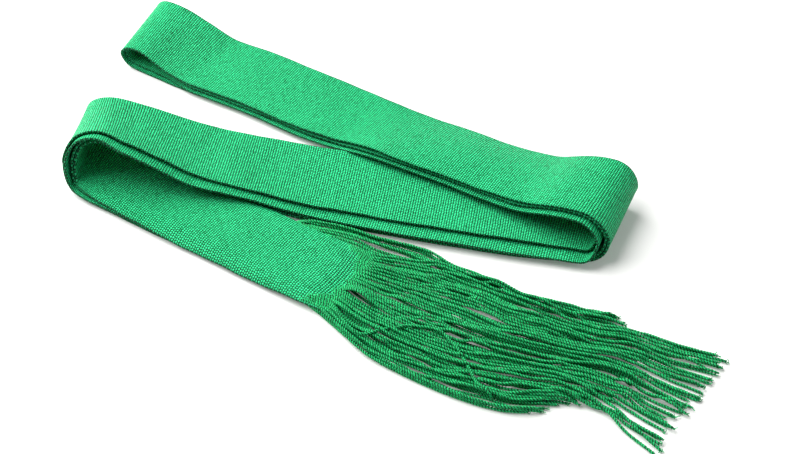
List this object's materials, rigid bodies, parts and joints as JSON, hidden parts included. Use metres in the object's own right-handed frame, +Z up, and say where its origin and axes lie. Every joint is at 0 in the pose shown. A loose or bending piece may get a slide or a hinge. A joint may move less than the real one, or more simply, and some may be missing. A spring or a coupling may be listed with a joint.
{
  "type": "gartel (woven sash belt)",
  "caption": "Long narrow ribbed sash folded in layers and laid in a flat zigzag, with a corded fringe at each end.",
  "frame": {"origin": "middle of the underside of the part's box, on the surface that the folded sash lies on", "axes": "+X along the folded stretches towards the fringe, +Y across them to the back, +Z up"},
  "size_m": [0.418, 0.213, 0.0386],
  "materials": {
    "woven_band": "matt cross-ribbed weave with a slight silky sheen",
    "twisted_cord": "two-ply twisted silky cord"
  },
  "bodies": {
    "root": {"upper_stretch_face": "woven_band", "upper_stretch_core": "woven_band", "right_turn_outer": "woven_band", "right_turn_inner": "woven_band", "middle_stretch_face": "woven_band", "middle_stretch_core": "woven_band", "left_turn_outer": "woven_band", "left_turn_inner": "woven_band", "lower_stretch_face": "woven_band", "lower_stretch_second": "woven_band", "lower_stretch_core": "woven_band", "end_loop_outer": "woven_band", "end_loop_inner": "woven_band", "fringe_top": "twisted_cord", "fringe_under": "twisted_cord"}
  },
  "joints": []
}
